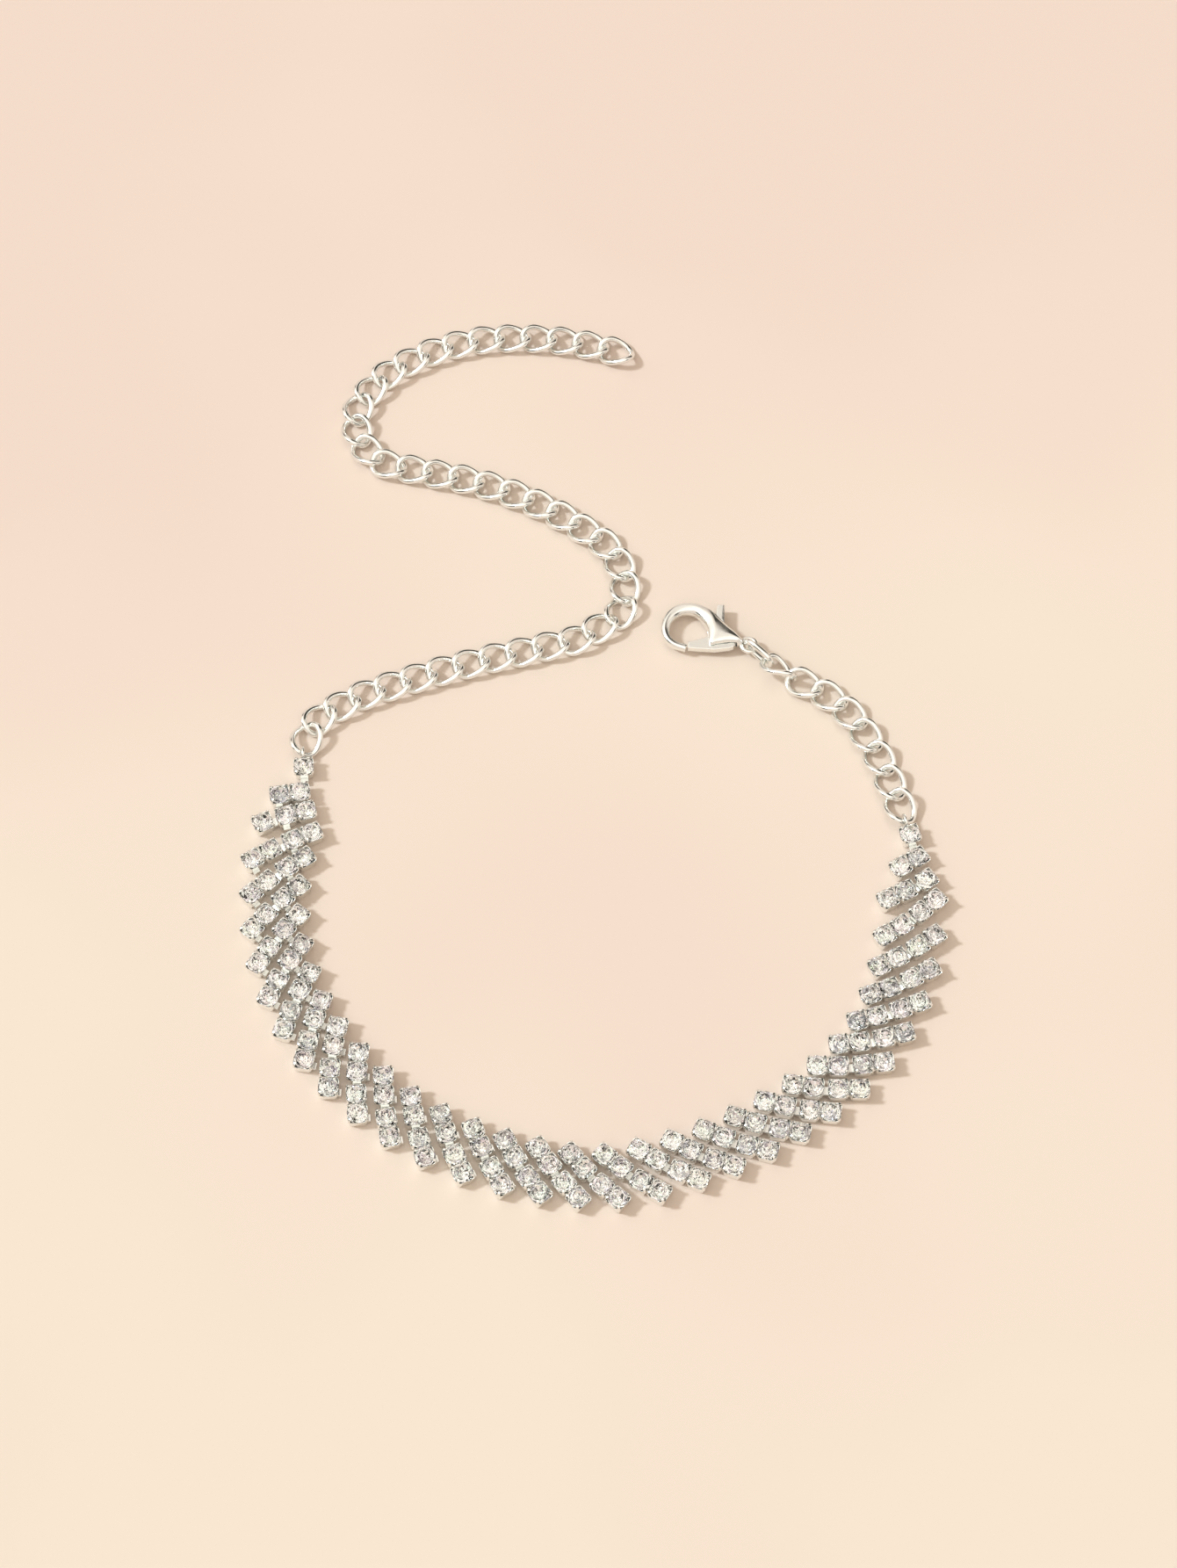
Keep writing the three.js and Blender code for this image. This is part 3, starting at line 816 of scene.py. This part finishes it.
CLASP_Z = 1.25
CLASP_PLACE = {"x": 19.4, "y": 18.4, "heading": -10.6}
EYELET = {"radius": 0.9, "wire": 0.27, "stations": 48, "sides": 16}
PIVOT = {"x": -2.75, "y": 0.0}
PIN = {"radius": 0.35, "length": 1.7}
ROD_SIDES = 32
SLOT_HEIGHT = 1.04
WEAR = {"factor": 0.5, "rounds": 4}

# Sections of the casting, from the eyelet round the hook to its tip: the way it runs
# there, its half width and its rise above and below the middle.
BODY_SECTIONS = [
    {"x": -0.78, "y": 0.06, "heading": 180, "half": 0.4, "rise": 0.5},
    {"x": -1.35, "y": 0.22, "heading": 172, "half": 0.56, "rise": 0.92},
    {"x": -2.28, "y": 0.45, "heading": 166, "half": 0.97, "rise": 1.12},
    {"x": -3.35, "y": 0.57, "heading": 165, "half": 1.54, "rise": 1.2},
    {"x": -4.4, "y": 0.94, "heading": 174, "half": 2.08, "rise": 1.2},
    {"x": -5.05, "y": 2.3, "heading": 172, "half": 1.36, "rise": 1.05},
    {"x": -5.85, "y": 3.05, "heading": 172, "half": 1.05, "rise": 0.95},
    {"x": -7.2, "y": 3.6, "heading": 182, "half": 0.8, "rise": 0.86},
    {"x": -8.65, "y": 3.42, "heading": 206, "half": 0.78, "rise": 0.8},
    {"x": -9.72, "y": 2.62, "heading": 232, "half": 0.72, "rise": 0.77},
    {"x": -10.28, "y": 1.35, "heading": 258, "half": 0.6, "rise": 0.75},
    {"x": -10.28, "y": 0, "heading": 282, "half": 0.55, "rise": 0.73},
    {"x": -9.75, "y": -1.02, "heading": 312, "half": 0.5, "rise": 0.68},
    {"x": -8.85, "y": -1.6, "heading": 338, "half": 0.49, "rise": 0.6},
    {"x": -7.36, "y": -1.82, "heading": 356, "half": 0.5, "rise": 0.5},
]
SECTION_STEPS = 8

# The casting's outline, from the hook's inside over the top to its outside: a share of
# the section's half width, less a step in from the inner edge, and a share of its rise.
# The steps make a bevel of the same width all round the hook's inside.
BODY_PROFILE = [
    {"in": 1.0, "step": 0.0, "up": 0.0}, {"in": 1.0, "step": 0.03, "up": 0.42},
    {"in": 1.0, "step": 0.19, "up": 0.72}, {"in": 0.82, "step": 0.2, "up": 0.87},
    {"in": 0.3, "step": 0.1, "up": 0.98}, {"in": -0.2, "step": 0.0, "up": 1.0},
    {"in": -0.62, "step": 0.0, "up": 0.84}, {"in": -0.91, "step": 0.0, "up": 0.48},
    {"in": -1.0, "step": 0.0, "up": 0.0},
]
PROFILE_STEPS = 4

SLOT_CORNERS = [
    {"x": -5.5, "y": -2.8}, {"x": -1.4, "y": -2.8}, {"x": -1.4, "y": -0.1},
    {"x": -1.6, "y": 0.42}, {"x": -2, "y": 0.8}, {"x": -1.9, "y": 3.9},
    {"x": -4.8, "y": 3.9}, {"x": -4.8, "y": 1.25}, {"x": -5.5, "y": 1.25},
]


def spline(before, start, end, after, share):
    """A value on the smooth curve between start and end."""
    return 0.5 * (2 * start + (end - before) * share
                  + (2 * before - 5 * start + 4 * end - after) * share ** 2
                  + (3 * start - before - 3 * end + after) * share ** 3)


def smoothed(rows, steps, loop=False):
    """The rows of a table with smooth steps put in between them."""
    count, fine = len(rows), []
    for i in range(count if loop else count - 1):
        near = [rows[(i + k) % count] if loop else rows[min(max(i + k, 0), count - 1)]
                for k in (-1, 0, 1, 2)]
        for step in range(steps):
            fine.append({key: spline(*[row[key] for row in near], step / steps)
                         for key in rows[0]})
    return fine if loop else fine + [rows[-1]]


def body_ring(section, profile):
    """The outline of one section, square to its heading."""
    heading = math.radians(section["heading"])
    inward = Vector((-math.sin(heading), math.cos(heading), 0))
    middle = Vector((section["x"], section["y"], CLASP_Z))
    return [middle + inward * (section["half"] * spot["in"] - spot["step"])
            + Vector((0, 0, section["rise"] * spot["up"])) for spot in profile]


def body_shape():
    """The casting before its slot is cut, the same below as above."""
    below = [{**spot, "up": -spot["up"]} for spot in reversed(BODY_PROFILE[1:-1])]
    profile = smoothed(BODY_PROFILE + below, PROFILE_STEPS, loop=True)
    sections = smoothed(BODY_SECTIONS, SECTION_STEPS)
    return Shape().skin([body_ring(section, profile) for section in sections])


def plate_shape(corners, thickness):
    """A flat plate at half the clasp's height."""
    rings = [[Vector((corner["x"], corner["y"], z)) for corner in corners]
             for z in (CLASP_Z - thickness / 2, CLASP_Z + thickness / 2)]
    return Shape().skin(rings)


def rod_shape(rod):
    """An upright rod through the pivot."""
    turns = [math.tau * k / ROD_SIDES for k in range(ROD_SIDES)]
    corners = [{"x": PIVOT["x"] + rod["radius"] * math.cos(turn),
                "y": PIVOT["y"] + rod["radius"] * math.sin(turn)} for turn in turns]
    return plate_shape(corners, rod["length"])


def blank(name, shape):
    """A shape as an object in millimetres, to be cut or joined with others."""
    return make_object(name, shape.points, shape.faces)


def cast(shape, cuts, joins, grain):
    """One smooth casting as a shape. The cuts are taken out of it and the joins added, it
    is remade in cells as wide as the grain, and its edges are worn round."""
    body = blank("casting", shape)
    tools = [(blank("cut", cut), "DIFFERENCE") for cut in cuts]
    tools += [(blank("join", join), "UNION") for join in joins]
    for tool, operation in tools:
        step = body.modifiers.new(operation, "BOOLEAN")
        step.operation, step.object, step.solver = operation, tool, "EXACT"
    remesh = body.modifiers.new("even", "REMESH")
    remesh.mode, remesh.voxel_size = "VOXEL", grain
    worn = body.modifiers.new("worn", "SMOOTH")
    worn.factor, worn.iterations = WEAR["factor"], WEAR["rounds"]
    graph = bpy.context.evaluated_depsgraph_get()
    mesh = bpy.data.meshes.new_from_object(body.evaluated_get(graph))
    made = Shape()
    made.points = [vertex.co.copy() for vertex in mesh.vertices]
    for face in mesh.polygons:
        made.face(face.vertices)
    for used in [body] + [tool for tool, _ in tools]:
        bpy.data.objects.remove(used)
    return made


clasp_place = turned(CLASP_PLACE["x"], CLASP_PLACE["y"], 0, CLASP_PLACE["heading"])
slot_cut = plate_shape(SLOT_CORNERS, SLOT_HEIGHT)
eyelet = Shape().add(wire_ring(**EYELET), Matrix.Translation((0, 0, CLASP_Z)))
casting = cast(body_shape(), cuts=[slot_cut], joins=[eyelet, rod_shape(PIN)], grain=0.06)
clasp_metal = silver_plate("clasp_silver", roughness=0.2, grain=2500.0)
clasp_body = make_piece("clasp_casting", Shape().add(casting, clasp_place), [clasp_metal],
                        crease=70)
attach(clasp_body, "bracelet")
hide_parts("clasp_body")

# ---- The clasp's lever ----
# A flat cast lever turns on the pin: its gate closes the hook, its heel sits in the
# slot, and its thumb tab, thicker than the rest, stands out on the far side.

LEVER = {"thickness": 0.86, "tab_height": 1.0}
LEVER_CORNERS = [
    {"x": -7.16, "y": -1.95}, {"x": -6.2, "y": -1.88}, {"x": -3.9, "y": -1.6},
    {"x": -2.2, "y": -1.05}, {"x": -1.75, "y": -0.8}, {"x": -1.55, "y": -0.45},
    {"x": -1.8, "y": 0.2}, {"x": -2.5, "y": 0.75}, {"x": -3.4, "y": 2.4},
    {"x": -3.8, "y": 4.75}, {"x": -4.65, "y": 4.6}, {"x": -4.55, "y": 2.6},
    {"x": -4.5, "y": 0.3}, {"x": -5.3, "y": -0.15}, {"x": -6.3, "y": -0.7},
    {"x": -7.26, "y": -1.12},
]
THUMB_CORNERS = [
    {"x": -3.72, "y": 2.6}, {"x": -3.9, "y": 4.72}, {"x": -4.62, "y": 4.6},
    {"x": -4.5, "y": 2.6},
]
BORE = {"radius": 0.47, "length": 2}

plate = plate_shape(LEVER_CORNERS, LEVER["thickness"])
thumb = plate_shape(THUMB_CORNERS, LEVER["tab_height"])
lever = cast(plate, cuts=[rod_shape(BORE)], joins=[thumb], grain=0.05)
clasp_lever = make_piece("clasp_gate", Shape().add(lever, clasp_place), [clasp_metal], crease=70)
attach(clasp_lever, "lever")
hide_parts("clasp_lever")
